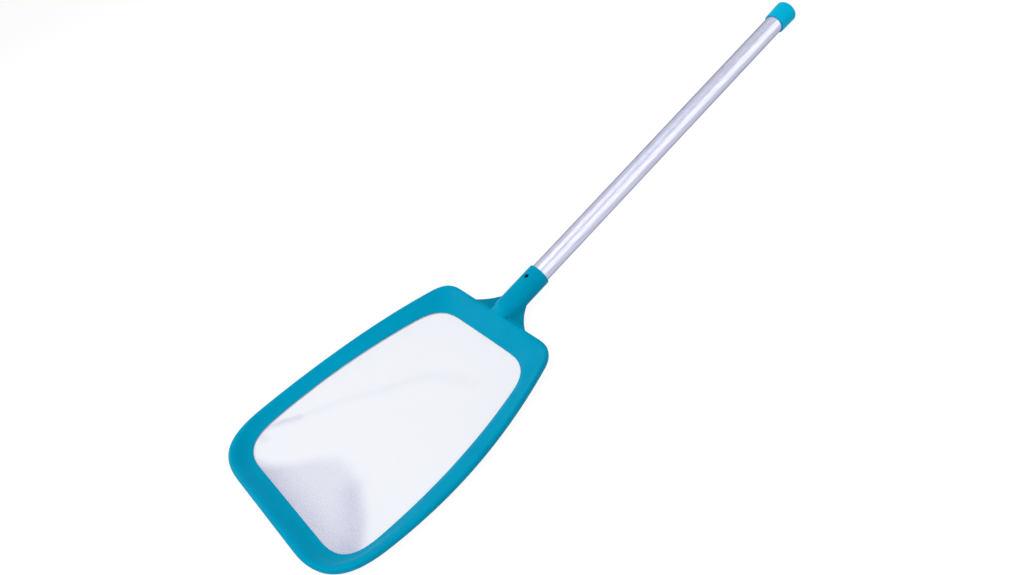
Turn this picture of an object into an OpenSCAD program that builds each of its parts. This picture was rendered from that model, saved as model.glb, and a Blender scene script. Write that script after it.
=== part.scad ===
// Leaf skimmer: a dished head with a flat net, socketed on a pitched tubular handle.
// Head coordinates: X across, +Y from the net to the grip end, Z up, zero at the crest of the rear rail.

/* [Head outline] */
// Length of the head, rear edge to front edge
head_len = 413; // [390:1:440]
// Half-width at the rear edge, before its corner is rounded
rear_half_w = 120.5; // [114:0.5:130]
// Half-width at the front edge, before its corner is rounded
front_half_w = 162; // [154:0.5:174]
// How far the middle of a side stands out from a straight line
side_bow = 30; // [24:1:36]
// How far a rear corner reaches along the side
rear_corner = 28; // [24:0.5:38]
// How far a front corner reaches along the side
front_corner = 82; // [66:1:94]
// How full the corners are, 1 for a plain curve
corner_fullness = 1.12; // [0.9:0.01:1.3]

/* [Rim section] */
// Width of the rear rail
rear_band = 35.5; // [33:0.5:42]
// Width of the front rail
front_band = 32; // [29:0.5:38]
// Side rail, half-width lost at its rear end
side_band_rear = 17; // [15:0.5:20]
// Side rail, half-width lost at its front end
side_band_front = 20; // [18:0.5:24]
// Extra width of the side rail at mid-length
side_band_swell = 10.5; // [9:0.5:14]
// How far an opening's rear corner reaches along the side
open_rear_corner = 46; // [36:1:52]
// How far an opening's front corner reaches along the side
open_front_corner = 54; // [42:1:62]
// Depth of the opening's lip below the crest
dish_depth = 16.2; // [14:0.1:18]
// Height of the outer skirt below the crest
skirt_h = 9.6; // [9.4:0.1:11]
// How far the crest dips along the sides
side_dip = 6.7; // [3:0.1:7.5]
// Moulded wall
wall = 2.4; // [2:0.1:3]
// Thickness of the opening's lip
lip_t = 1.6; // [1.3:0.1:2]

/* [Net and clamp ring] */
// Thickness of the net
net_t = 0.6; // [0.4:0.1:0.8]
// Spacing of the net's threads in the model
net_pitch = 18.5; // [18:0.5:24]
// Width of one thread of the model
net_thread = 1.5; // [1:0.1:2.5]
// Width of the net held under the lip
net_grip = 8; // [6:0.5:8.5]
// Width of the woven edge that shows inside the lip
net_edge = 1.5; // [1:0.1:3]
// Width of the clamp ring
ring_w = 9.5; // [9:0.5:10]
// Thickness of the clamp ring
ring_t = 2.2; // [1.6:0.1:3]
// How far the ring stays back from the lip's edge
ring_setback = 1; // [0.6:0.1:2]

/* [Handle] */
// Handle tube, outer radius
tube_r = 15; // [14:0.1:16]
// Handle tube, wall
tube_wall = 1.2; // [1:0.1:1.6]
// Upward pitch of the handle from the net's plane, degrees
pitch = 8.5; // [6:0.1:11]
// Depth of the handle's axis below the crest, at the rear edge
axis_drop = 10; // [9:0.1:12]
// Distance along the axis from the rear edge to the grip end
handle_len = 697; // [560:1:820]

/* [Neck and socket] */
// Socket, wall around the tube
socket_wall = 2.8; // [2.4:0.05:3.2]
// Distance along the axis from the rear edge to the socket's mouth
socket_mouth = 87.5; // [80:0.5:110]
// Distance along the axis at which the tube seats
tube_seat = 15; // [13:0.5:20]
// Closed floor of the socket
socket_floor = 3; // [2:0.5:5]
// How far the neck's root reaches into the rear rail
root_reach = 20; // [16:1:24]
// Depth of the root's top below the crest, at its tip in the dish
root_top = 9; // [8:0.1:10]
// Depth of the root's underside below the crest, at its tip
root_bottom = 13; // [12:0.1:15]
// Gusset, half-width where it leaves the rear rail
gusset_half_w = 60.5; // [52:0.5:66]
// Gusset, half-width towards which its flank curves in
gusset_waist = 33; // [28:1:38]
// Gusset, how far it runs along the socket
gusset_len = 44; // [36:1:52]
// Gusset, thickness
gusset_t = 2.6; // [2:0.1:3.2]
// Gusset, depth of its top below the crest
gusset_drop = 6.8; // [5:0.1:6.8]

/* [End cap] */
// Length of the cap over the tube
cap_len = 34; // [26:1:44]
// Wall of the cap at its mouth
cap_wall = 2.4; // [2:0.1:3]
// How much the cap flares towards its end
cap_flare = 0.9; // [0:0.1:1.5]
// Thickness of the cap's end
cap_end = 3; // [2:0.1:5]
// Radius of the cap's rounded end
cap_round = 4; // [2.5:0.1:4.5]

/* [Snap lock] */
// Distance along the axis from the rear edge to the button
button_at = 68.5; // [60:0.5:72]
// Button radius
button_r = 3; // [2.5:0.1:3.4]
// How far the button's top sits below the socket's face
button_recess = 0.8; // [0.4:0.1:1.4]
// Button's foot inside the tube, radius
foot_r = 4.6; // [4.2:0.1:5.2]
// Button's foot, thickness
foot_t = 1.2; // [1:0.1:1.6]
// Spring strip, thickness
strip_t = 0.6; // [0.5:0.05:0.8]
// Spring strip, width
strip_w = 8; // [6:0.5:9]
// Spring, distance from the button to its bend
spring_len = 46; // [36:1:56]
// Spring, radius of its bend
bend_r = 3; // [2:0.1:4]

/* [Clearances] */
// Tube in the socket, radial
socket_gap = 0.08; // [0.04:0.01:0.3]
// Cap on the tube, radial
cap_gap = 0.03; // [0.02:0.01:0.1]
// Button in the tube's hole, radial
button_gap = 0.09; // [0.04:0.01:0.1]
// Button in the socket's hole, radial
socket_hole_gap = 0.4; // [0.2:0.05:0.8]
// Between pieces that lie against each other
seat_gap = 0.05; // [0.02:0.01:0.1]

/* [Hidden] */
$fn = 96;

socket_bore_r = tube_r + socket_gap;
socket_r = socket_bore_r + socket_wall;
bore_start = tube_seat - seat_gap;
neck_start = bore_start - socket_floor;
tube_in_r = tube_r - tube_wall;
cap_bore_r = tube_r + cap_gap;
cap_r = cap_bore_r + cap_wall + cap_flare;
cap_start = handle_len - cap_len;
tube_end = handle_len - cap_end - seat_gap;
foot_top = sqrt(pow(tube_in_r, 2) - pow(foot_r, 2)) - seat_gap;
button_top = socket_r - button_recess;

// Levels of the pieces clamped under the dish
net_top = -dish_depth - seat_gap;
ring_top = net_top - net_t - seat_gap;

// The whole part stands on its lowest point, centred on its length
low_z = min(-axis_drop + neck_start * sin(pitch) - socket_r * cos(pitch), ring_top - ring_t);
back_y = (handle_len - cap_round) * cos(pitch) + (cap_r - cap_round) * sin(pitch) + cap_round;
origin = [0, (head_len - back_y) / 2, -low_z];

function unit(v) = v / norm(v);
function bez(p, q, r, t) = (1 - t) * (1 - t) * p + 2 * t * (1 - t) * q + t * t * r;
function bez_dir(p, q, r, t) = unit((1 - t) * (q - p) + t * (r - q));
function corner(p, q, r, t) =
  let (a = (1 - t) * (1 - t), b = 2 * t * (1 - t) * corner_fullness, c = t * t)
  (a * p + b * q + c * r) / (a + b + c);

// One half of a head-shaped outline: straight ends, a bowed side and two tangent corners
function half_outline(w1, w2, y1, y2, bow, c1, c2) =
  let (p = [w1, y1], r = [w2, y2], len = norm(r - p),
       q = (p + r) / 2 + 2 * bow * unit([y1 - y2, w2 - w1]),
       t1 = c1 / len, t2 = 1 - c2 / len,
       s1 = bez(p, q, r, t1), d1 = bez_dir(p, q, r, t1), e1 = s1 + d1 * (y1 - s1.y) / d1.y,
       s2 = bez(p, q, r, t2), d2 = bez_dir(p, q, r, t2), e2 = s2 + d2 * (y2 - s2.y) / d2.y,
       a1 = e1 - [norm(s1 - e1), 0], a2 = e2 - [norm(s2 - e2), 0])
  concat([for (i = [0:2]) [a1.x * i / 3, y1]],
         [for (i = [0:7]) corner(a1, e1, s1, i / 8)],
         [for (i = [0:11]) bez(p, q, r, t1 + (t2 - t1) * i / 12)],
         [for (i = [0:9]) corner(s2, e2, a2, i / 10)],
         [a2, [a2.x / 2, y2], [0, y2]]);

function mirrored(half) =
  concat(half, [for (i = [len(half) - 2:-1:1]) [-half[i].x, half[i].y]]);

outer = mirrored(half_outline(rear_half_w, front_half_w, 0, -head_len,
                              side_bow, rear_corner, front_corner));
lip = mirrored(half_outline(rear_half_w - side_band_rear, front_half_w - side_band_front,
                            -rear_band, -head_len + front_band,
                            side_bow - side_band_swell, open_rear_corner, open_front_corner));

// The lip's outline moved outwards by d, under the rail
function lip_out(d) = [for (i = [0:len(lip) - 1]) lip[i] + d * unit(outer[i] - lip[i])];

// The crest follows a shallow curve down along each side
function dip(p) =
  let (u = 2 * p.y / head_len + 1) -side_dip * (1 - u * u) * pow(p.x / front_half_w, 2);

// Section of the rim as [side it is measured from, distance, height, share of the dip]:
// down the outer skirt, over the crest, down the dish to the lip and back along the underside
seat_w = ring_setback + ring_w + seat_gap;
lip_top = lip_t - dish_depth;
dish_mid = lip_top * 0.6;
crest_in = 4.2;
section = [
  ["out", 1.2, -skirt_h, 1], ["out", 0.2, -skirt_h * 0.5, 1], ["out", 0, -3.4, 1],
  ["out", 0.6, -1.6, 1], ["out", 2, -0.4, 1], ["out", crest_in, 0, 1],
  ["out", 7.4, -0.7, 1], ["out", 11, -2.6, 0.85],
  ["mid", 0.5, dish_mid, 0.4],
  ["lip", 8, lip_top + 1.4, 0], ["lip", 2, lip_top, 0],
  ["lip", 0.3, lip_top - 0.5, 0], ["lip", 0, -dish_depth, 0],
  ["lip", seat_w, -dish_depth, 0],
  ["mid", 0.5, dish_mid - wall, 0.4],
  ["out", 10, -2.2 - wall, 0.9], ["out", crest_in + 2, -0.5 - wall, 1],
  ["out", wall + 0.8, -1.6 - wall, 1], ["out", wall + 0.2, -skirt_h * 0.6, 1],
  ["out", wall + 0.8, -skirt_h, 1]
];
mid_out = 11;
mid_lip = 9;

function rim_point(k, s) =
  let (o = outer[k], n = lip[k], w = norm(n - o),
       m = s[0] == "out" ? s[1]
         : s[0] == "lip" ? w - s[1]
         : mid_out + s[1] * (w - mid_out - mid_lip),
       p = o + m * unit(n - o))
  [p.x, p.y, s[2] + s[3] * dip(o)];

module rim() {
  n = len(outer);
  m = len(section);
  points = [for (k = [0:n - 1]) for (s = section) rim_point(k, s)];
  faces = [for (k = [0:n - 1]) for (j = [0:m - 1])
    let (a = k * m + j, b = k * m + (j + 1) % m,
         c = ((k + 1) % n) * m + (j + 1) % m, d = ((k + 1) % n) * m + j)
    each [[a, c, b], [a, d, c]]];
  polyhedron(points, faces, convexity = 8);
}

module placed() translate(origin) children();

// Children stand on the handle's axis, +Z to the grip end and +Y up
module on_handle()
  placed() translate([0, 0, -axis_drop]) rotate([pitch - 90, 0, 0]) rotate([0, 0, 180]) children();

// The gussets end inside the skirt's wall, and the neck stays a little inside the socket
gusset_sink = wall * 0.8;
neck_step = 0.4;
neck_half_w = socket_r - neck_step;
neck_overlap = 3;
neck_run = root_reach + neck_start + neck_overlap;
root_square = 3.5;

module gussets() {
  flank = [for (i = [0:10]) bez([gusset_half_w, 0], [gusset_waist, gusset_len / 3],
                                [socket_r - socket_wall / 2, gusset_len], i / 10)];
  translate([0, 0, -gusset_drop - gusset_t])
    linear_extrude(gusset_t)
      polygon(concat([[gusset_half_w, -gusset_sink]], flank,
                     [for (i = [10:-1:0]) [-flank[i].x, flank[i].y]],
                     [[-gusset_half_w, -gusset_sink]]));
}

neck_steps = 9;
neck_sides = 32;
// Steep where it leaves the dish, level where it meets the socket
function ease(v) = v * (1 + v - v * v);
function signed_pow(c, e) = sign(c) * pow(abs(c), e);

// Section of the neck at share v of its run: squarish at the root, round where the socket takes over
function neck_section(v) =
  let (y = -root_reach + v * neck_run, e = ease(v), power = 2 / (root_square + (2 - root_square) * e),
       axis_z = y * tan(pitch) - axis_drop, half_h = neck_half_w / cos(pitch),
       top = -root_top + e * (axis_z + half_h + root_top),
       bottom = -root_bottom + e * (axis_z - half_h + root_bottom))
  [for (i = [0:neck_sides - 1]) let (a = 360 * (i + 0.5) / neck_sides)
    [neck_half_w * signed_pow(cos(a), power), y,
     (top + bottom) / 2 + (top - bottom) / 2 * signed_pow(sin(a), power)]];

module neck() {
  n = neck_sides;
  points = [for (j = [0:neck_steps]) each neck_section(j / neck_steps)];
  polyhedron(points, concat(
    [[for (i = [n - 1:-1:0]) i]],
    [[for (i = [0:n - 1]) neck_steps * n + i]],
    [for (j = [0:neck_steps - 1]) for (i = [0:n - 1])
      let (a = j * n + i, b = j * n + (i + 1) % n)
      each [[a, b, b + n], [a, b + n, a + n]]]));
}

module frame() {
  color([0.0, 0.58, 0.74])
    difference() {
      union() {
        placed() {
          rim();
          gussets();
          neck();
        }
        on_handle() translate([0, 0, neck_start])
          cylinder(r = socket_r, h = socket_mouth - neck_start);
      }
      on_handle() translate([0, 0, bore_start])
        cylinder(r = socket_bore_r, h = socket_mouth - bore_start + 1);
      on_handle() translate([0, 0, button_at]) rotate([-90, 0, 0])
        cylinder(r = button_r + socket_hole_gap, h = socket_r + 1);
    }
}

module net() {
  half_w = max([for (p = lip) p.x]);
  nx = floor(half_w / net_pitch);
  ny = floor((head_len - rear_band - front_band) / net_pitch);
  color([0.93, 0.94, 0.97])
    placed() translate([0, 0, net_top - net_t]) linear_extrude(net_t) {
      difference() {
        polygon(lip_out(net_grip));
        polygon(lip_out(-net_edge));
      }
      intersection() {
        polygon(lip_out(-net_edge / 2));
        union() {
          for (i = [-nx:nx])
            translate([(i + 0.5) * net_pitch - net_thread / 2, -head_len]) square([net_thread, head_len]);
          for (i = [0:ny])
            translate([-front_half_w, -rear_band - (i + 0.5) * net_pitch - net_thread / 2])
              square([2 * front_half_w, net_thread]);
        }
      }
    }
}

module net_ring() {
  color([0.0, 0.5, 0.66])
    placed() translate([0, 0, ring_top - ring_t]) {
      linear_extrude(ring_t)
        difference() {
          polygon(lip_out(ring_setback + ring_w));
          polygon(lip_out(ring_setback));
        }
      linear_extrude(ring_t + net_t + seat_gap)
        difference() {
          polygon(lip_out(ring_setback + ring_w));
          polygon(lip_out(net_grip + seat_gap));
        }
    }
}

module handle_tube() {
  color([0.82, 0.82, 0.86])
    difference() {
      on_handle() translate([0, 0, tube_seat]) cylinder(r = tube_r, h = tube_end - tube_seat);
      on_handle() translate([0, 0, tube_seat - 1]) cylinder(r = tube_in_r, h = tube_end - tube_seat + 2);
      on_handle() translate([0, 0, button_at]) rotate([-90, 0, 0])
        cylinder(r = button_r + button_gap, h = tube_r + 1);
    }
}

module end_cap() {
  color([0.04, 0.64, 0.84])
    on_handle() rotate_extrude()
      difference() {
        union() {
          polygon([[0, cap_start], [cap_r - cap_flare, cap_start],
                   [cap_r, handle_len - cap_round], [cap_r - cap_round, handle_len],
                   [0, handle_len]]);
          intersection() {
            translate([cap_r - cap_round, handle_len - cap_round]) circle(cap_round);
            translate([cap_r - cap_round, handle_len - cap_round]) square(cap_round);
          }
        }
        translate([-1, cap_start - 1]) square([cap_bore_r + 1, handle_len - cap_end - cap_start + 1]);
      }
}

module lock_button() {
  dome = 0.8;
  color([0.1, 0.16, 0.2])
    on_handle() translate([0, 0, button_at]) rotate([-90, 0, 0])
      rotate_extrude()
        polygon([[0, foot_top - foot_t], [foot_r, foot_top - foot_t], [foot_r, foot_top],
                 [button_r, foot_top], [button_r, button_top - dome],
                 [button_r - dome / 4, button_top - dome / 3],
                 [button_r - dome, button_top], [0, button_top]]);
}

// Centre line of the spring strip in the handle's plane, as [along the axis, height]
strip_up = foot_top - foot_t - seat_gap - strip_t / 2;
strip_down = -sqrt(pow(tube_in_r, 2) - pow(strip_w / 2, 2)) + seat_gap + strip_t / 2;
strip_path = concat(
  [[button_at - foot_r, strip_up], [button_at + foot_r + 2, strip_up]],
  [for (a = [75:-15:-75]) [button_at + spring_len + bend_r * cos(a), bend_r * sin(a)]],
  [[button_at + foot_r, strip_down], [button_at - foot_r, strip_down]]);

function strip_side(path, d) = [for (i = [0:len(path) - 1])
  let (a = path[max(i - 1, 0)], b = path[min(i + 1, len(path) - 1)], t = unit(b - a))
  path[i] + d * [-t.y, t.x]];

module lock_spring() {
  left = strip_side(strip_path, strip_t / 2);
  right = strip_side(strip_path, -strip_t / 2);
  color([0.7, 0.71, 0.73])
    on_handle() rotate([0, -90, 0]) linear_extrude(strip_w, center = true)
      polygon(concat(left, [for (i = [len(right) - 1:-1:0]) right[i]]));
}

frame();
net();
net_ring();
handle_tube();
end_cap();
lock_button();
lock_spring();
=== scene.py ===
import itertools
import math

import bpy
import numpy as np
from mathutils import Matrix


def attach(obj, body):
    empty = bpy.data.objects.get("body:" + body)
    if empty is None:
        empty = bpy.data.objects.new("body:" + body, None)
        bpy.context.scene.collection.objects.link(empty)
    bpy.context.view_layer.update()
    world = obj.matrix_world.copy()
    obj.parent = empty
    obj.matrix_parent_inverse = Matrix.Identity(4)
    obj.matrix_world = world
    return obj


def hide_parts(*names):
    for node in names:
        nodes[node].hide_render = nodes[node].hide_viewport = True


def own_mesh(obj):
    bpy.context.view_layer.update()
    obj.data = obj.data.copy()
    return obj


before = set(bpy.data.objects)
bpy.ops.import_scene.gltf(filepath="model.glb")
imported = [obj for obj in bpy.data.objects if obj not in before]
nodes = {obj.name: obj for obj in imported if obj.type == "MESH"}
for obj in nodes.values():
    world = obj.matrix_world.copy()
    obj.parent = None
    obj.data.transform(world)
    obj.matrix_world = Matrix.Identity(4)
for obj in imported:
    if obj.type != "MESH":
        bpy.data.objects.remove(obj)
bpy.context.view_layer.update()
scene = bpy.context.scene
print("frame loaded:", sorted(nodes))

headOrigin = np.array([0, -139.25305, 25.91728])  # the rear rail's crest in the object's frame
pitch = math.radians(8.5)  # the handle's rise


def toMetres(points):
    return (np.asarray(points, float) + headOrigin) / 1000


view = {  # in metres, with the lens in millimetres
    "place": (0.83304, -0.50288, 0.84146),
    "right": (0.627656, 0.720306, -0.295309),
    "up": (-0.373955, 0.61167, 0.697149),
    "back": (0.682792, -0.327138, 0.65328),
    "lens": 29.8828125,
    "shift": (0.000679, 0.000231),
}
eye = bpy.data.cameras.new("eye")
eye.sensor_width = 36
eye.lens = view["lens"]
eye.shift_x, eye.shift_y = view["shift"]
eye.clip_start, eye.clip_end = 0.01, 50
camera = bpy.data.objects.new("camera", eye)
axes = np.array([view["right"], view["up"], view["back"]]).T
camera.matrix_world = Matrix.LocRotScale(view["place"], Matrix(axes.tolist()).to_quaternion(), None)
scene.collection.objects.link(camera)
scene.camera = camera


def unit(v):
    v = np.asarray(v, float)
    return v / np.maximum(np.linalg.norm(v, axis=-1, keepdims=True), 1e-12)


def hexColour(text):
    parts = [int(text[i:i + 2], 16) / 255 for i in (0, 2, 4)]
    return [c / 12.92 if c <= 0.04045 else ((c + 0.055) / 1.055) ** 2.4 for c in parts] + [1.0]


def makePiece(name, points, faces, material, smoothAngle=40):
    mesh = bpy.data.meshes.new(name)
    mesh.from_pydata(points.tolist(), [], faces)
    mesh.validate()
    mesh.materials.append(material)
    for face in mesh.polygons:
        face.use_smooth = True
    mesh.set_sharp_from_angle(angle=math.radians(smoothAngle))
    piece = bpy.data.objects.new(name, mesh)
    scene.collection.objects.link(piece)
    return piece


def addNode(tree, kind, settings=None, inputs=None):
    # Settings are the node's own. An input takes a value or another node's output
    node = tree.nodes.new(kind)
    for key, value in (settings or {}).items():
        setattr(node, key, value)
    for key, value in (inputs or {}).items():
        if isinstance(value, bpy.types.NodeSocket):
            tree.links.new(value, node.inputs[key])
        else:
            node.inputs[key].default_value = value
    return node


def newMaterial(name):
    material = bpy.data.materials.new(name)
    material.use_nodes = True
    material.node_tree.nodes.clear()
    return material, material.node_tree


plastics = {  # the colour's darker and lighter end, the colour of the painted shade on the thin web, the gloss and the roughness
    "tealPolypropylene": ("0094BB", "00A2C8", "006C88", "50C8FF", 0.36),
    "tealPolypropyleneRing": ("008EB6", "009AC2", "006C88", "50C8FF", 0.4),
    "cyanPolypropylene": ("00B8E2", "08C6F0", "006C88", "50C8FF", 0.34),
    "darkNylon": ("041E34", "0A2C4A", "041E34", "FFFFFF", 0.4),
}


def mouldedPlastic(name):
    # Injection-moulded in dyed polypropylene, the button in nylon: a satin skin with a weak gloss of
    # its own colour, faint flow marks about 40 mm wide, and a spark grain that breaks up highlights,
    # drawn 1 mm wide where the real grain is finer. The thin web is coloured darker as painted shade
    dark, light, shadeColour, gloss, roughness = plastics[name]
    material, tree = newMaterial(name)
    place = addNode(tree, "ShaderNodeTexCoord").outputs["Object"]
    flow = addNode(tree, "ShaderNodeTexNoise", inputs={"Vector": place, "Scale": 25.0, "Detail": 2.0})
    tone = addNode(tree, "ShaderNodeMix", {"data_type": "RGBA"},
                   {0: flow.outputs["Fac"], 6: hexColour(dark), 7: hexColour(light)})
    # painted shade: the thin web's colour is mixed towards a darker one
    webShade = addNode(tree, "ShaderNodeAttribute", {"attribute_name": "webShade"})
    colour = addNode(tree, "ShaderNodeMix", {"data_type": "RGBA"},
                     {0: webShade.outputs["Fac"], 6: tone.outputs[2], 7: hexColour(shadeColour)})
    grain = addNode(tree, "ShaderNodeTexNoise", inputs={"Vector": place, "Scale": 900.0, "Detail": 1.0})
    bump = addNode(tree, "ShaderNodeBump",
                   inputs={"Height": grain.outputs["Fac"], "Strength": 0.12, "Distance": 0.0002})
    shader = addNode(tree, "ShaderNodeBsdfPrincipled", inputs={
        "Base Color": colour.outputs[2], "Roughness": roughness, "IOR": 1.49, "Specular IOR Level": 0.03,
        "Specular Tint": hexColour(gloss), "Normal": bump.outputs["Normal"]})
    addNode(tree, "ShaderNodeOutputMaterial", inputs={"Surface": shader.outputs[0]})
    return material


tube = {"dark": "ABACC6", "light": "DADCEC", "edge": "8C8C9A", "roughness": 0.3}


def drawnAluminium():
    # Drawn through a die and left unpolished: lines along the tube draw each reflection out into long
    # soft streaks. They are 2 mm apart round it where the real ones are too fine to show
    material, tree = newMaterial("drawnAluminium")
    place = addNode(tree, "ShaderNodeTexCoord").outputs["Object"]
    along = addNode(tree, "ShaderNodeMapping", inputs={
        "Vector": place, "Rotation": (-pitch, 0, 0), "Scale": (1, 0.002, 1)})
    lines = addNode(tree, "ShaderNodeTexNoise",
                    inputs={"Vector": along.outputs[0], "Scale": 500.0, "Detail": 2.0})
    tone = addNode(tree, "ShaderNodeMix", {"data_type": "RGBA"},
                   {0: lines.outputs["Fac"], 6: hexColour(tube["dark"]), 7: hexColour(tube["light"])})
    bump = addNode(tree, "ShaderNodeBump",
                   inputs={"Height": lines.outputs["Fac"], "Strength": 0.015, "Distance": 0.0001})
    shader = addNode(tree, "ShaderNodeBsdfPrincipled", inputs={
        "Base Color": tone.outputs[2], "Metallic": 1.0, "Roughness": tube["roughness"],
        "Specular Tint": hexColour(tube["edge"]), "Normal": bump.outputs["Normal"]})
    addNode(tree, "ShaderNodeOutputMaterial", inputs={"Surface": shader.outputs[0]})
    return material


steel = {"dark": "8E9098", "light": "D4D6DA", "roughness": 0.32}


def springSteel():
    # Cold-rolled strip, hardened: dull grey with rolling marks 1 mm apart, which keep it from shining
    material, tree = newMaterial("springSteel")
    place = addNode(tree, "ShaderNodeTexCoord").outputs["Object"]
    marks = addNode(tree, "ShaderNodeTexNoise", inputs={"Vector": place, "Scale": 1000.0, "Detail": 2.0})
    tone = addNode(tree, "ShaderNodeMix", {"data_type": "RGBA"},
                   {0: marks.outputs["Fac"], 6: hexColour(steel["dark"]), 7: hexColour(steel["light"])})
    shader = addNode(tree, "ShaderNodeBsdfPrincipled", inputs={
        "Base Color": tone.outputs[2], "Metallic": 1.0, "Roughness": steel["roughness"]})
    addNode(tree, "ShaderNodeOutputMaterial", inputs={"Surface": shader.outputs[0]})
    return material


rimPlastic = mouldedPlastic("tealPolypropylene")
steelStrip = springSteel()
cadFinish = {
    "frame": rimPlastic, "net_ring": mouldedPlastic("tealPolypropyleneRing"),
    "handle_tube": drawnAluminium(), "end_cap": mouldedPlastic("cyanPolypropylene"),
    "lock_button": mouldedPlastic("darkNylon"), "lock_spring": steelStrip,
}
for name, material in cadFinish.items():
    for slot in nodes[name].material_slots:
        slot.material = material
print("materials:", len(cadFinish))

head = {
    "length": 413, "rearHalf": 120.5, "frontHalf": 162, "bow": 30,  # the outline and its sides' bulge
    "rearCorner": 28, "frontCorner": 82, "fullness": 1.12,  # how far back a corner starts, and its form
    "rearBand": 35.5, "frontBand": 32, "sideBandRear": 17, "sideBandFront": 20,  # the rim's widths
    "swell": 10.5, "openRearCorner": 46, "openFrontCorner": 54,  # the opening's straighter sides
    "depth": 16.2, "skirt": 9.6, "dip": 6.7, "wall": 2.4, "lip": 1.6, "midFall": 0.51,
    "crest": 11, "slopeFoot": 9,  # the crest's width, and how far the slope stops from the opening
    "seat": 10.55,  # the flat under the lip that the clamp ring lies on
    "cornerCut": 0.2,
}


def bezier(p, q, r, t):
    t = np.asarray(t, float)[..., None]
    return (1 - t) ** 2 * p + 2 * t * (1 - t) * q + t ** 2 * r


def bezierSlope(p, q, r, t):
    return unit((1 - t) * (q - p) + t * (r - q))


def conic(p, q, r, t):
    t = np.asarray(t, float)[:, None]
    a, b, c = (1 - t) ** 2, 2 * t * (1 - t) * head["fullness"], t ** 2
    return (a * p + b * q + c * r) / (a + b + c)


def evenly(points, count):
    # Moves along a polyline in equal steps
    run = np.concatenate([[0], np.cumsum(np.linalg.norm(np.diff(points, axis=0), axis=1))])
    stops = np.linspace(0, run[-1], count + 1)
    return np.stack([np.interp(stops, run, points[:, n]) for n in (0, 1)], axis=1)


def outlineParts(w1, w2, y1, y2, bow, c1, c2):
    # Half of a rounded trapezoid with a bowed side: its corners, its side and its straights' ends
    p, r = np.array([w1, y1], float), np.array([w2, y2], float)
    length = np.linalg.norm(r - p)
    q = (p + r) / 2 + 2 * bow * unit([y1 - y2, w2 - w1])
    t1, t2 = c1 / length, 1 - c2 / length
    s1, d1 = bezier(p, q, r, t1), bezierSlope(p, q, r, t1)
    s2, d2 = bezier(p, q, r, t2), bezierSlope(p, q, r, t2)
    e1, e2 = s1 + d1 * (y1 - s1[1]) / d1[1], s2 + d2 * (y2 - s2[1]) / d2[1]
    a1 = e1 - [np.linalg.norm(s1 - e1), 0]
    a2 = e2 - [np.linalg.norm(s2 - e2), 0]
    fine = np.linspace(0, 1, 200)
    side = bezier(p, q, r, t1 + (t2 - t1) * fine)
    return a1, conic(a1, e1, s1, fine), side, conic(s2, e2, a2, fine), a2


outerParts = outlineParts(head["rearHalf"], head["frontHalf"], 0, -head["length"],
                          head["bow"], head["rearCorner"], head["frontCorner"])
lipParts = outlineParts(head["rearHalf"] - head["sideBandRear"],
                        head["frontHalf"] - head["sideBandFront"],
                        -head["rearBand"], -head["length"] + head["frontBand"],
                        head["bow"] - head["swell"], head["openRearCorner"], head["openFrontCorner"])
steps = {"rear": 14, "rearCorner": 30, "side": 56, "frontCorner": 36, "front": 22}


def halfOutline(parts, rearX, frontX):
    # Both outlines share their straight parts' x, so the section stands square there
    a1, rearCorner, side, frontCorner, a2 = parts
    y1, y2 = a1[1], a2[1]
    rearXs = np.linspace(0, rearX, steps["rear"] + 1)
    frontXs = np.linspace(frontX, 0, steps["front"] + 1)
    rear = np.column_stack([rearXs, np.full(len(rearXs), y1)])
    front = np.column_stack([frontXs, np.full(len(frontXs), y2)])
    corner1 = evenly(np.concatenate([[[rearX, y1]], rearCorner]), steps["rearCorner"])
    corner2 = evenly(np.concatenate([frontCorner, [[frontX, y2]]]), steps["frontCorner"])
    middle = evenly(side, steps["side"])
    return np.concatenate([rear, corner1[1:], middle[1:], corner2[1:], front[1:]])


def mirrored(half):
    # Closes a half outline over x = 0
    return np.concatenate([half, half[-2:0:-1] * [-1, 1]])


squareRear = min(outerParts[0][0], lipParts[0][0])
squareFront = min(outerParts[4][0], lipParts[4][0])
outer = mirrored(halfOutline(outerParts, squareRear, squareFront))
lipLine = mirrored(halfOutline(lipParts, squareRear, squareFront))
inward = unit(lipLine - outer)
band = np.linalg.norm(lipLine - outer, axis=1)
ringCount = len(outer)


def crestDip(p):
    # The crest is lowest midway along each side, and level across the ends
    u = 2 * p[:, 1] / head["length"] + 1
    return -head["dip"] * (1 - u ** 2) * (p[:, 0] / head["frontHalf"]) ** 2


lipTop = head["lip"] - head["depth"]
dishMid = lipTop * head["midFall"]
wall = head["wall"]
# Each point's base (outline, lip or the slope between), distance, height and share of the crest's dip
section = [
    ("out", 1.2, -head["skirt"], 1), ("out", 0.2, -head["skirt"] / 2, 1), ("out", 0, -3.4, 1),
    ("out", 0.6, -1.6, 1), ("out", 2, -0.4, 1), ("out", 4.2, 0, 1), ("out", 7.4, -0.7, 1),
    ("out", 11, -2.6, 0.85), ("mid", 0.5, dishMid, 0.4), ("lip", 8, lipTop + 2.5, 0),
    ("lip", 2, lipTop, 0), ("lip", 0.3, lipTop - 0.5, 0), ("lip", 0, -head["depth"], 0),
    ("lip", head["seat"], -head["depth"], 0), ("mid", 0.5, dishMid - wall, 0.4),
    ("out", 10, -2.2 - wall, 0.9), ("out", 6.2, -0.5 - wall, 1), ("out", wall + 0.8, -1.6 - wall, 1),
    ("out", wall + 0.2, -head["skirt"] * 0.6, 1), ("out", wall + 0.8, -head["skirt"], 1),
]


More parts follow.
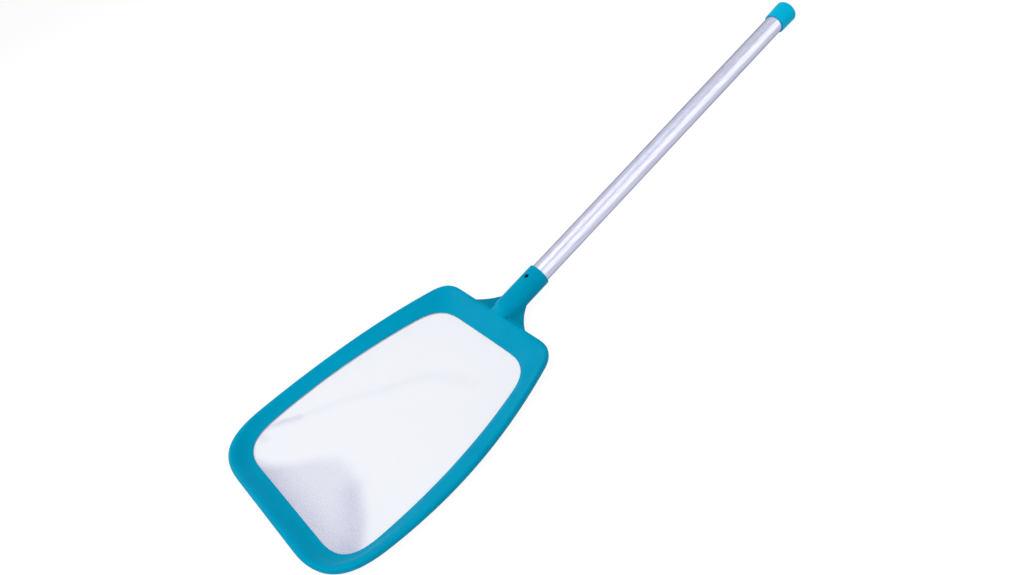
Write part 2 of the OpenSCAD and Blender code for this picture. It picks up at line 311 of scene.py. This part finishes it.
def rimRings():
    # One closed section at each point of the outline
    dips = crestDip(outer)
    cut = head["cornerCut"]
    rings = []
    for side, distance, height, share in section:
        if side == "out":
            m = np.full(ringCount, float(distance))
        elif side == "lip":
            m = band - distance
        else:
            m = head["crest"] + distance * (band - head["crest"] - head["slopeFoot"])
        flat = outer + m[:, None] * inward
        rings.append(np.column_stack([flat, height + share * dips]))
    rings = np.stack(rings, axis=1)
    for _ in range(2):  # rounds the moulded edges by cutting each corner twice
        after = np.roll(rings, -1, axis=1)
        rings = np.stack([(1 - cut) * rings + cut * after, cut * rings + (1 - cut) * after], axis=2)
        rings = rings.reshape(ringCount, -1, 3)
    return rings


rim = rimRings()
print("rim:", rim.shape)


def ringFaces(count, around):
    faces = []
    for k, j in itertools.product(range(count), range(around)):
        k2, j2 = (k + 1) % count, (j + 1) % around
        faces.append((k * around + j, k * around + j2, k2 * around + j2, k2 * around + j))
    return faces


def smoothMin(a, b, k):
    # The lesser of two distances, with a fillet of about k where they meet
    h = np.maximum(k - np.abs(a - b), 0) / k
    return np.minimum(a, b) - h * h * k / 4


def smoothMax(a, b, k):
    return -smoothMin(-a, -b, k)


def sectionDistance(loop, y, z):
    # Signed distance from a closed section, negative inside it
    best = np.full(np.shape(y), 1e9)
    inside = np.zeros(np.shape(y), bool)
    for (ay, az), (by, bz) in zip(loop, np.roll(loop, -1, axis=0)):
        ey, ez = by - ay, bz - az
        t = np.clip(((y - ay) * ey + (z - az) * ez) / max(ey * ey + ez * ez, 1e-12), 0, 1)
        best = np.minimum(best, np.hypot(y - ay - t * ey, z - az - t * ez))
        if az != bz:
            inside ^= ((az > z) != (bz > z)) & (y < ay + (z - az) / (bz - az) * ey)
    return np.where(inside, -best, best)


neck = {
    "axisDrop": 10, "socketRadius": 17.88, "mouth": 87.5, "floor": 11.95,  # along the tube's axis
    "boreStart": 14.95, "boreRadius": 15.08, "holeAt": 68.5, "holeRadius": 3.4,
    "root": 17.5, "rootReach": 20, "rootTop": -9, "rootBottom": -13, "rootSquare": 3.5, "rootRound": 2,
    "rootSink": 6, "sinkFrom": -3, "sinkOver": 8, "rootLeast": 2,
    "gussetHalf": 60.5, "gussetWaist": 33, "gussetEnd": 16.5, "gussetLength": 44, "gussetStart": -2,
    "gussetTop": -6.8, "gussetThick": 2.6, "flankShare": 0.75, "flankRound": 0.5,
    "filletAt": (-16, -10, -1), "rootFillet": (1, 8, 1.2),  # before the crest, over it and behind it
    "socketFillet": 1.5, "gussetFillet": 1.2, "edgeRound": 0.9, "mouthRound": 0.8, "holeRound": 1.2,
    # painted shade on the thin web: how strong it is, and where it fades in behind, beside and under
    "webShadeTone": 0.5, "webBehind": (3, 7), "webBeside": (15, 18), "webUnder": (-6.6, -5.6),
    "cell": 0.8, "quickCell": 1.2, "low": (-64, -42, -30), "high": (64, 92, 26),
    "halfWidth": 61.5, "inset": 0.03,
}
rearSection = rim[0][:, 1:]
flank = bezier(np.array([neck["gussetHalf"], 0.0]),
               np.array([neck["gussetWaist"], neck["gussetLength"] / 3]),
               np.array([neck["gussetEnd"], neck["gussetLength"]]), np.linspace(0, 1, 60))


def neckField(x, y, z):
    n = neck
    s = y * math.cos(pitch) + (z + n["axisDrop"]) * math.sin(pitch)
    h = -y * math.sin(pitch) + (z + n["axisDrop"]) * math.cos(pitch)
    r = np.hypot(x, h)
    ax = np.abs(x)
    rail = np.maximum(sectionDistance(rearSection, y, z) + n["inset"], ax - n["halfWidth"])
    socket = smoothMax(r - n["socketRadius"], np.maximum(n["floor"] - s, s - n["mouth"]), n["edgeRound"])
    # The root falls from the socket's crown to the dish, level at first and then steeper
    v = np.clip((y + n["rootReach"]) / (n["rootReach"] + n["boreStart"]), 0, 1)
    ease = v * (1 + v - v * v)
    axisZ, half = y * math.tan(pitch) - n["axisDrop"], n["root"] / math.cos(pitch)
    top = n["rootTop"] + ease * (axisZ + half - n["rootTop"])
    bottom = n["rootBottom"] + ease * (axisZ - half - n["rootBottom"])
    # Before the crest it sinks under the rail, so that its sides leave no line there
    sunk = np.clip((n["sinkFrom"] - y) / n["sinkOver"], 0, 1)
    top = np.maximum(top - n["rootSink"] * sunk * sunk * (3 - 2 * sunk), bottom + n["rootLeast"])
    middle, tall = (top + bottom) / 2, (top - bottom) / 2
    power = n["rootSquare"] + (2 - n["rootSquare"]) * ease
    shape = ((ax / n["root"]) ** power + (np.abs(z - middle) / tall) ** power) ** (1 / power) - 1
    root = np.maximum(shape * np.minimum(n["root"], tall), ax - n["root"])
    root = smoothMax(root, np.maximum(-n["rootReach"] - y, y - n["boreStart"]), n["rootRound"])
    # A level web on each side, whose flank curves in from the rail to the socket
    half = n["gussetThick"] / 2
    flankX = np.interp(y, flank[:, 1], flank[:, 0])
    ends = np.maximum(n["gussetStart"] - y, y - n["gussetLength"])
    sides = smoothMax((ax - flankX) * n["flankShare"], ends, n["flankRound"])
    plate = smoothMax(np.abs(z - n["gussetTop"] + half) - half, sides, n["edgeRound"])
    # The blend is wide over the crest and tight in the corners behind the rail
    solid = smoothMin(rail, root, np.interp(y, n["filletAt"], n["rootFillet"]))
    solid = smoothMin(solid, socket, n["socketFillet"])
    solid = smoothMin(solid, plate, n["gussetFillet"])
    bore = np.maximum(r - n["boreRadius"], n["boreStart"] - s)
    hole = np.maximum(np.hypot(x, s - n["holeAt"]) - n["holeRadius"], -h)
    return smoothMax(smoothMax(solid, -bore, n["mouthRound"]), -hole, n["holeRound"])


def surfaceNet(field, low, high, cell):
    # Skins the field's zero surface with quads, one point in each grid cell that it crosses
    lines = [np.arange(a, b + cell, cell) for a, b in zip(low, high)]
    value = field(*np.meshgrid(*lines, indexing="ij"))
    inside = value < 0
    shape = np.array(value.shape) - 1
    total, count = np.zeros((*shape, 3), np.float32), np.zeros(shape, np.int8)

    def corners(offset):
        return value[tuple(slice(o, o + n) for o, n in zip(offset, shape))]

    for axis, other in itertools.product(range(3), itertools.product((0, 1), repeat=2)):
        start, end = list(other), list(other)
        start.insert(axis, 0)
        end.insert(axis, 1)
        a, b = corners(start), corners(end)
        cross = (a < 0) != (b < 0)
        share = np.where(cross, a / np.where(cross, a - b, 1), 0)
        for n in range(3):
            total[..., n] += np.where(cross, start[n] + (share if n == axis else 0), 0)
        count += cross
    used = count > 0
    index = np.full(tuple(shape), -1)
    index[used] = np.arange(used.sum())
    points = np.array(low) + cell * (np.argwhere(used) + total[used] / count[used][:, None])
    quads = []
    for axis in range(3):
        o1, o2 = (axis + 1) % 3, (axis + 2) % 3
        cut = [slice(1, -1)] * 3
        cut[axis] = slice(0, -1)
        first = inside[tuple(cut)]
        cut[axis] = slice(1, None)
        second = inside[tuple(cut)]
        at = np.argwhere(first != second)
        out = first[tuple(at.T)]
        around = []
        for d1, d2 in ((0, 0), (1, 0), (1, 1), (0, 1)):
            spot = at.copy()
            spot[:, o1] += d1
            spot[:, o2] += d2
            around.append(index[tuple(spot.T)])
        quad = np.stack(around, axis=1)
        quad[~out] = quad[~out][:, ::-1]
        quads.append(quad)
    nudge, leastGrade, mostMove = 0.02, 0.05, 0.3 * cell
    for _ in range(3):  # draws each point onto the surface itself
        here = field(*points.T)
        grade = np.stack([(field(*(points + d).T) - field(*(points - d).T)) / (2 * nudge)
                          for d in np.eye(3) * nudge], axis=1)
        move = here[:, None] * grade / np.maximum((grade ** 2).sum(axis=1, keepdims=True), leastGrade)
        reach = np.linalg.norm(move, axis=1, keepdims=True)
        points = points - move * np.minimum(1, mostMove / np.maximum(reach, 1e-9))
    return points, np.concatenate(quads)


def webShadeShare(x, y, z):
    # Painted shade on the thin web between the rail and the socket, by where it lies
    behind = np.interp(y, neck["webBehind"], (0, 1))
    beside = np.interp(abs(x), neck["webBeside"], (0, 1))
    under = np.interp(z, neck["webUnder"], (1, 0))
    return neck["webShadeTone"] * behind * beside * under


cell = neck["cell"]
neckPoints, neckQuads = surfaceNet(neckField, neck["low"], neck["high"], cell)
print("neck:", len(neckPoints), "points")
rimFaces = ringFaces(ringCount, rim.shape[1])
rimPoints = rim.reshape(-1, 3)
headPoints = np.concatenate([rimPoints, neckPoints])
headFaces = rimFaces + (neckQuads + len(rimPoints)).tolist()
headPiece = makePiece("mouldedHead", toMetres(headPoints), headFaces, rimPlastic)
# painted shade: each point's share of the thin web's darker colour
headPiece.data.attributes.new("webShade", "FLOAT", "POINT").data.foreach_set("value", webShadeShare(*headPoints.T))
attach(headPiece, "skimmer")
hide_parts("frame")
print("head:", len(headFaces), "faces")

spring = {  # places along the tube's axis, and heights over it
    "start": 63.9, "step": 75.1, "lowerStep": 73.1, "bend": 114.5, "bendRadius": 3,
    "upper": 11.411, "lower": -12.858, "width": 8, "thick": 0.6, "edge": 0.15, "travel": 4,
}


def fromTube(across, s, h):
    # Turns a place along the tube's axis and a height over it into a point
    return (across, s * math.cos(pitch) - h * math.sin(pitch),
            s * math.sin(pitch) + h * math.cos(pitch) - neck["axisDrop"])


def stripSpring():
    # A strip bent back on itself: its upper leg carries the button and its lower leg lies in the tube
    radius = spring["bendRadius"]
    bend = [(spring["bend"] + radius * math.cos(a), radius * math.sin(a))
            for a in np.radians(np.arange(75, -80, -7.5))]
    line = np.array([(spring["start"], spring["upper"]), (spring["step"], spring["upper"]), *bend,
                     (spring["lowerStep"], spring["lower"]), (spring["start"], spring["lower"])])
    along = unit(np.gradient(line, axis=0))
    side, thick, edge = spring["width"] / 2, spring["thick"] / 2, spring["edge"]
    corners = [(side, thick - edge), (side - edge, thick), (edge - side, thick), (-side, thick - edge),
               (-side, edge - thick), (edge - side, -thick), (side - edge, -thick), (side, edge - thick)]
    points = [fromTube(across, s - out * dh, h + out * ds)
              for (s, h), (ds, dh) in zip(line, along) for across, out in corners]
    around, last = len(corners), (len(line) - 1) * len(corners)
    faces = [tuple(range(around)), tuple(last + j for j in range(around))[::-1]]
    for k, j in itertools.product(range(0, last, around), range(around)):
        j2 = (j + 1) % around
        faces.append((k + j, k + around + j, k + around + j2, k + j2))
    return makePiece("stripSpring", toMetres(np.array(points)), faces, steelStrip)


springPiece = stripSpring()
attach(springPiece, "skimmer")
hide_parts("lock_spring")
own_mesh(springPiece)
print("spring:", len(springPiece.data.polygons), "faces")

net = {
    "grip": 8, "top": -16.25, "thick": 0.6, "rings": 64, "centreShift": 6,
    "sag": 3.8, "free": 0.96, "held": 0.985, "holdOver": 0.12, "pocket": 4.2, "pocketEdge": 30,
    "pitch": 1.5, "quickPitch": 4.5, "thread": 0.58, "lift": 0.14,  # the real threads are 0.8 mm apart
    # the second colour is painted shade on the cloth, and the tones on the next line set how strong and
    # wide it is
    "light": "F1F4FE", "shadeColour": "9698CA",
    "pocketShadeStrength": 0.4, "frontShadeStrength": 0.36, "frontWidth": 24, "foldSide": 0.6,
}
# The cloth hangs slack in front of this line, and the folds run along the others
pocketLine = np.array([(-104, -384), (-87, -376), (-57, -346), (-31, -315), (-10, -300), (20, -295),
                       (52, -303), (103, -321), (140, -348)], float)
foldLines = [  # a line, its height, its width and the depth of its painted shade
    ([(-128, -318), (-112, -292), (-99, -263), (-79, -227), (-51, -190), (-27, -151), (0, -122),
      (64, -99)], 1.6, 7, 0.11),
    ([(-142, -334), (-130, -316), (-114, -295)], 1.2, 5, 0.36),
    ([(-146, -352), (-136, -352), (-122, -348)], 0.9, 5, 0.2),
    ([(-134, -372), (-110, -376), (-84, -371), (-58, -360)], 0.4, 8, 0.07),
    ([(56, -302), (82, -318), (108, -334), (134, -354)], 0.5, 19, 0.3),
    ([(-148, -340), (-143, -362), (-120, -380), (-60, -381), (0, -381)], 0, 9, 0.2),
]


def lineDistance(line, x, y):
    best = np.full(np.shape(x), 1e9)
    for a, b in zip(line[:-1], line[1:]):
        e = b - a
        t = np.clip(((x - a[0]) * e[0] + (y - a[1]) * e[1]) / (e @ e), 0, 1)
        best = np.minimum(best, np.hypot(x - a[0] - t * e[0], y - a[1] - t * e[1]))
    return best


def pocketShare(x, y):
    # 0 on the tight cloth and 1 in the slack pocket behind the front rail
    inside = np.interp(x, pocketLine[:, 0], pocketLine[:, 1]) - y
    depth = np.clip(inside / net["pocketEdge"] + 0.5, 0, 1)
    return depth * depth * (3 - 2 * depth)


def nearFold(line, x, y, width):
    # 1 on the fold's line, fading over its width
    return np.exp(-(lineDistance(np.array(line, float), x, y) / width) ** 2)


def netHeight(x, y, share):
    # share is 0 in the middle of the opening and 1 at the clamped edge
    free = np.clip((net["free"] - share) / net["free"], 0, 1)
    hold = np.clip((net["held"] - share) / net["holdOver"], 0, 1)
    hold = hold * hold * (3 - 2 * hold)
    height = -net["sag"] * (1 - (1 - free) ** 2) - net["pocket"] * pocketShare(x, y) * hold
    for line, rise, width, _ in foldLines:
        height += rise * nearFold(line, x, y, width) * hold
    return height


def paintedNetShade(x, y):
    # Painted shade: the colour is darkened where the slack cloth would lie in its own shade, deepest by
    # the front rail and beside the folds
    front = np.exp(-((y + head["length"] - head["frontBand"]) / net["frontWidth"]) ** 2)
    tone = pocketShare(x, y) * (net["pocketShadeStrength"] + net["frontShadeStrength"] * front)
    for line, _, width, depth in foldLines:
        tone += depth * nearFold(line, x, y + width * net["foldSide"], width)
    return np.clip(tone, 0, 1)


def wovenFibre():
    # Woven from white polyester yarn: soft, almost without gloss, with a fuzz of fibre ends 0.2 mm
    # wide and a faint sheen that lifts its edges
    material, tree = newMaterial("wovenPolyester")
    place = addNode(tree, "ShaderNodeTexCoord").outputs["Object"]
    # painted shade: the yarn turns darker where the pocket and the folds would lie in shade
    paintedShade = addNode(tree, "ShaderNodeAttribute", {"attribute_name": "paintedShade"})
    tone = addNode(tree, "ShaderNodeMix", {"data_type": "RGBA"},
                   {0: paintedShade.outputs["Fac"], 6: hexColour(net["light"]), 7: hexColour(net["shadeColour"])})
    yarn = addNode(tree, "ShaderNodeTexNoise", inputs={"Vector": place, "Scale": 5000.0, "Detail": 1.0})
    bump = addNode(tree, "ShaderNodeBump",
                   inputs={"Height": yarn.outputs["Fac"], "Strength": 0.2, "Distance": 0.00005})
    shader = addNode(tree, "ShaderNodeBsdfPrincipled", inputs={
        "Base Color": tone.outputs[2], "Roughness": 0.6, "Specular IOR Level": 0.2, "Sheen Weight": 0.1,
        "Normal": bump.outputs["Normal"]})
    addNode(tree, "ShaderNodeOutputMaterial", inputs={"Surface": shader.outputs[0]})
    return material


netFibre = wovenFibre()
netCut = lipLine + net["grip"] * unit(outer - lipLine)
low, high = netCut.min(axis=0), netCut.max(axis=0)
netSize, netMiddle = high - low, (low + high) / 2


def clothSheet():
    # The slack cloth as one surface, on which the threads are laid
    centre = np.array([0.0, -head["length"] / 2 - net["centreShift"]])
    shares = np.linspace(0, 1, net["rings"] + 1)[1:]
    flat = np.concatenate([[centre]] + [centre + s * (netCut - centre) for s in shares])
    share = np.concatenate([[0]] + [np.full(len(netCut), s) for s in shares])
    level = net["top"] - net["thick"] / 2 + netHeight(flat[:, 0], flat[:, 1], share)
    count = len(netCut)
    faces = [(0, 1 + k, 1 + (k + 1) % count) for k in range(count)]
    for r in range(net["rings"] - 1):
        a, b = 1 + r * count, 1 + (r + 1) * count
        faces += [(a + k, b + k, b + (k + 1) % count, a + (k + 1) % count) for k in range(count)]
    return makePiece("clothSheet", toMetres(np.column_stack([flat, level])), faces, netFibre, 180)


def threadFamily(tree, given, cloth, across):
    # One straight thread is laid side by side, dropped on the cloth, and made a flat ribbon
    run, side = ("Threads across", "Threads along") if across else ("Threads along", "Threads across")
    step = {"X" if across else "Y": given["Pitch"]}
    shift = {"Y" if across else "X": given["Pitch"]}
    crossing = addNode(tree, "GeometryNodeMeshLine", inputs={
        "Count": given[run], "Offset": addNode(tree, "ShaderNodeCombineXYZ", inputs=step).outputs[0]})
    starts = addNode(tree, "GeometryNodeMeshLine", inputs={
        "Count": given[side], "Start Location": given["Corner"],
        "Offset": addNode(tree, "ShaderNodeCombineXYZ", inputs=shift).outputs[0]})
    numbered = []
    for name, line in (("row", crossing), ("thread", starts)):
        index = addNode(tree, "GeometryNodeInputIndex")
        numbered.append(addNode(tree, "GeometryNodeStoreNamedAttribute", {"data_type": "FLOAT"}, {
            "Geometry": line.outputs[0], "Name": name, "Value": index.outputs[0]}))
    threads = addNode(tree, "GeometryNodeInstanceOnPoints",
                      inputs={"Points": numbered[1].outputs[0], "Instance": numbered[0].outputs[0]})
    real = addNode(tree, "GeometryNodeRealizeInstances", inputs={"Geometry": threads.outputs[0]})
    ray = addNode(tree, "GeometryNodeRaycast", inputs={
        "Target Geometry": cloth, "Ray Direction": (0, 0, -1), "Ray Length": 1.0})
    missed = addNode(tree, "FunctionNodeBooleanMath", {"operation": "NOT"}, {0: ray.outputs["Is Hit"]})
    trimmed = addNode(tree, "GeometryNodeDeleteGeometry", {"domain": "POINT"},
                      {"Geometry": real.outputs[0], "Selection": missed.outputs[0]})
    total = addNode(tree, "ShaderNodeMath", {"operation": "ADD"})
    for n, name in enumerate(("row", "thread")):
        number = addNode(tree, "GeometryNodeInputNamedAttribute", {"data_type": "FLOAT"}, {"Name": name})
        tree.links.new(number.outputs[0], total.inputs[n])
    turn = addNode(tree, "ShaderNodeMath", {"operation": "MODULO"}, {0: total.outputs[0], 1: 2.0})
    over = addNode(tree, "ShaderNodeMapRange", inputs={
        "Value": turn.outputs[0], "To Min": 1.0 if across else -1.0, "To Max": -1.0 if across else 1.0})
    upward = addNode(tree, "ShaderNodeCombineXYZ", inputs={"Z": over.outputs[0]})
    lift = addNode(tree, "ShaderNodeVectorMath", {"operation": "SCALE"},
                   {"Vector": upward.outputs[0], "Scale": given["Lift"]})
    laid = addNode(tree, "GeometryNodeSetPosition", inputs={
        "Geometry": trimmed.outputs[0], "Position": ray.outputs["Hit Position"],
        "Offset": lift.outputs[0]})
    line = addNode(tree, "GeometryNodeMeshToCurve", inputs={"Mesh": laid.outputs[0]})
    level = addNode(tree, "GeometryNodeSetCurveNormal", {"mode": "Z_UP"}, {"Curve": line.outputs[0]})
    edges = []
    for share in (-0.5, 0.5):
        half = addNode(tree, "ShaderNodeMath", {"operation": "MULTIPLY"},
                       {0: given["Thread width"], 1: share})
        edges.append(addNode(tree, "ShaderNodeCombineXYZ", inputs={"X": half.outputs[0]}).outputs[0])
    ribbon = addNode(tree, "GeometryNodeCurvePrimitiveLine", inputs={"Start": edges[0], "End": edges[1]})
    return addNode(tree, "GeometryNodeCurveToMesh",
                   inputs={"Curve": level.outputs[0], "Profile Curve": ribbon.outputs[0]}).outputs[0]


def weaveTree():
    # Two families of threads, over and under each other by turns
    tree = bpy.data.node_groups.new("plainWeave", "GeometryNodeTree")
    sockets = {"Geometry": "Geometry", "Cloth": "Object", "Pitch": "Float", "Thread width": "Float",
               "Lift": "Float", "Threads across": "Int", "Threads along": "Int", "Corner": "Vector",
               "Yarn": "Material"}
    for name, kind in sockets.items():
        tree.interface.new_socket(name=name, in_out="INPUT", socket_type="NodeSocket" + kind)
    tree.interface.new_socket(name="Geometry", in_out="OUTPUT", socket_type="NodeSocketGeometry")
    given = addNode(tree, "NodeGroupInput").outputs
    cloth = addNode(tree, "GeometryNodeObjectInfo", inputs={"Object": given["Cloth"]})
    both = addNode(tree, "GeometryNodeJoinGeometry")
    for across in (False, True):
        tree.links.new(threadFamily(tree, given, cloth.outputs["Geometry"], across), both.inputs[0])
    real = addNode(tree, "GeometryNodeRealizeInstances", inputs={"Geometry": both.outputs[0]})
    dyed = addNode(tree, "GeometryNodeSetMaterial",
                   inputs={"Geometry": real.outputs[0], "Material": given["Yarn"]})
    addNode(tree, "NodeGroupOutput", inputs={"Geometry": dyed.outputs[0]})
    return tree


def fromNodes(name, tree, values):
    # Runs a tree once and keeps its plain mesh
    carrier = bpy.data.objects.new(name + "Carrier", bpy.data.meshes.new(name + "Carrier"))
    scene.collection.objects.link(carrier)
    modifier = carrier.modifiers.new("build", "NODES")
    modifier.node_group = tree
    for item in tree.interface.items_tree:
        if item.in_out == "INPUT" and item.name in values:
            modifier[item.identifier] = values[item.name]
    bpy.context.view_layer.update()
    ready = carrier.evaluated_get(bpy.context.evaluated_depsgraph_get())
    mesh = bpy.data.meshes.new_from_object(ready)
    mesh.name = name
    bpy.data.objects.remove(carrier)
    piece = bpy.data.objects.new(name, mesh)
    scene.collection.objects.link(piece)
    return piece


def wovenPiece():
    cloth = clothSheet()
    spacing = net["pitch"]
    counts = np.floor(netSize / spacing).astype(int) + 1
    corner = netMiddle - (counts - 1) * spacing / 2
    above = 100  # the rays start this far over the rim
    piece = fromNodes("wovenNet", weaveTree(), {
        "Cloth": cloth, "Pitch": spacing / 1000, "Lift": net["lift"] / 1000,
        "Thread width": net["thread"] / net["pitch"] * spacing / 1000,
        "Threads across": int(counts[0]), "Threads along": int(counts[1]),
        "Corner": toMetres([*corner, above]).tolist(), "Yarn": netFibre})
    bpy.data.objects.remove(cloth)
    mesh = piece.data
    for extra in ("row", "thread"):
        if extra in mesh.attributes:
            mesh.attributes.remove(mesh.attributes[extra])
    places = np.empty(len(mesh.vertices) * 3)
    mesh.vertices.foreach_get("co", places)
    places = places.reshape(-1, 3) * 1000 - headOrigin
    # each thread point's strength of painted shade
    paintedShade = mesh.attributes.new("paintedShade", "FLOAT", "POINT")
    paintedShade.data.foreach_set("value", paintedNetShade(places[:, 0], places[:, 1]))
    mesh.shade_smooth()
    return piece


wovenNet = wovenPiece()
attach(wovenNet, "skimmer")
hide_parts("net")

studio = {
    "floor": "CACACA", "floorGlow": 0.93, "floorShade": 0.12, "floorHalf": 6.0,
    "background": "FDFDFD", "worldStrength": 0.3,
    "lights": {  # place, target, size in metres and power in watts
        "key": ((0.1, -0.9, 2.2), (0, -0.2, 0), 1.6, 17.5),
        "overhead": ((0, 0.15, 2.3), (0, 0, 0), 1.6, 5.5),
        "front": ((1.2, -1.8, 0.9), (0, -0.3, 0), 0.9, 9),
        "left": ((-1.9, -0.9, 1.1), (0, -0.3, 0), 1, 16),
        "right": ((1.9, 1.1, 0.85), (0, 0.2, 0), 2.4, 14),
    },
}


def whiteRays(tree):
    # 1 for rays that show the background: straight to the eye, mirrored or through glass
    path = addNode(tree, "ShaderNodeLightPath").outputs
    seen = addNode(tree, "ShaderNodeMath", {"operation": "MAXIMUM"},
                   {0: path["Is Camera Ray"], 1: path["Is Glossy Ray"]})
    return addNode(tree, "ShaderNodeMath", {"operation": "MAXIMUM"},
                   {0: seen.outputs[0], 1: path["Is Transmission Ray"]}).outputs[0]


def paleFloor():
    # Painted board, matt, so that only the object's shadow shows on it and it looks white
    material, tree = newMaterial("paintedBoard")
    board = addNode(tree, "ShaderNodeBsdfDiffuse", inputs={"Color": hexColour(studio["floor"])})
    glow = addNode(tree, "ShaderNodeEmission", inputs={"Strength": studio["floorGlow"]})
    shaded = addNode(tree, "ShaderNodeBsdfDiffuse", inputs={"Color": [studio["floorShade"]] * 3 + [1]})
    bright = addNode(tree, "ShaderNodeAddShader", inputs={0: glow.outputs[0], 1: shaded.outputs[0]})
    choice = addNode(tree, "ShaderNodeMixShader",
                     inputs={0: whiteRays(tree), 1: board.outputs[0], 2: bright.outputs[0]})
    addNode(tree, "ShaderNodeOutputMaterial", inputs={"Surface": choice.outputs[0]})
    half = studio["floorHalf"]
    points = np.array([[-half, -half, 0], [half, -half, 0], [half, half, 0], [-half, half, 0]])
    makePiece("floor", points, [(0, 1, 2, 3)], material)


def softLight(name, place, target, size, power):
    lamp = bpy.data.lights.new(name, "AREA")
    lamp.shape, lamp.size, lamp.energy = "SQUARE", size, power
    light = bpy.data.objects.new(name, lamp)
    z = unit(np.array(place, float) - target)
    x = unit(np.cross([0, 0, 1], z))
    turn = Matrix(np.array([x, np.cross(z, x), z]).T.tolist()).to_quaternion()
    light.matrix_world = Matrix.LocRotScale(place, turn, None)
    scene.collection.objects.link(light)


def studioWorld():
    world = bpy.data.worlds.new("studio")
    scene.world = world
    world.use_nodes = True
    tree = world.node_tree
    tree.nodes.clear()
    strength = addNode(tree, "ShaderNodeMapRange", inputs={
        "Value": whiteRays(tree), "To Min": studio["worldStrength"], "To Max": 1.0})
    back = addNode(tree, "ShaderNodeBackground",
                   inputs={"Color": hexColour(studio["background"]), "Strength": strength.outputs[0]})
    addNode(tree, "ShaderNodeOutputWorld", inputs={"Surface": back.outputs[0]})


paleFloor()
studioWorld()
for name, settings in studio["lights"].items():
    softLight(name, *settings)
scene.view_settings.view_transform = "Standard"
print("studio:", len(studio["lights"]), "lights")
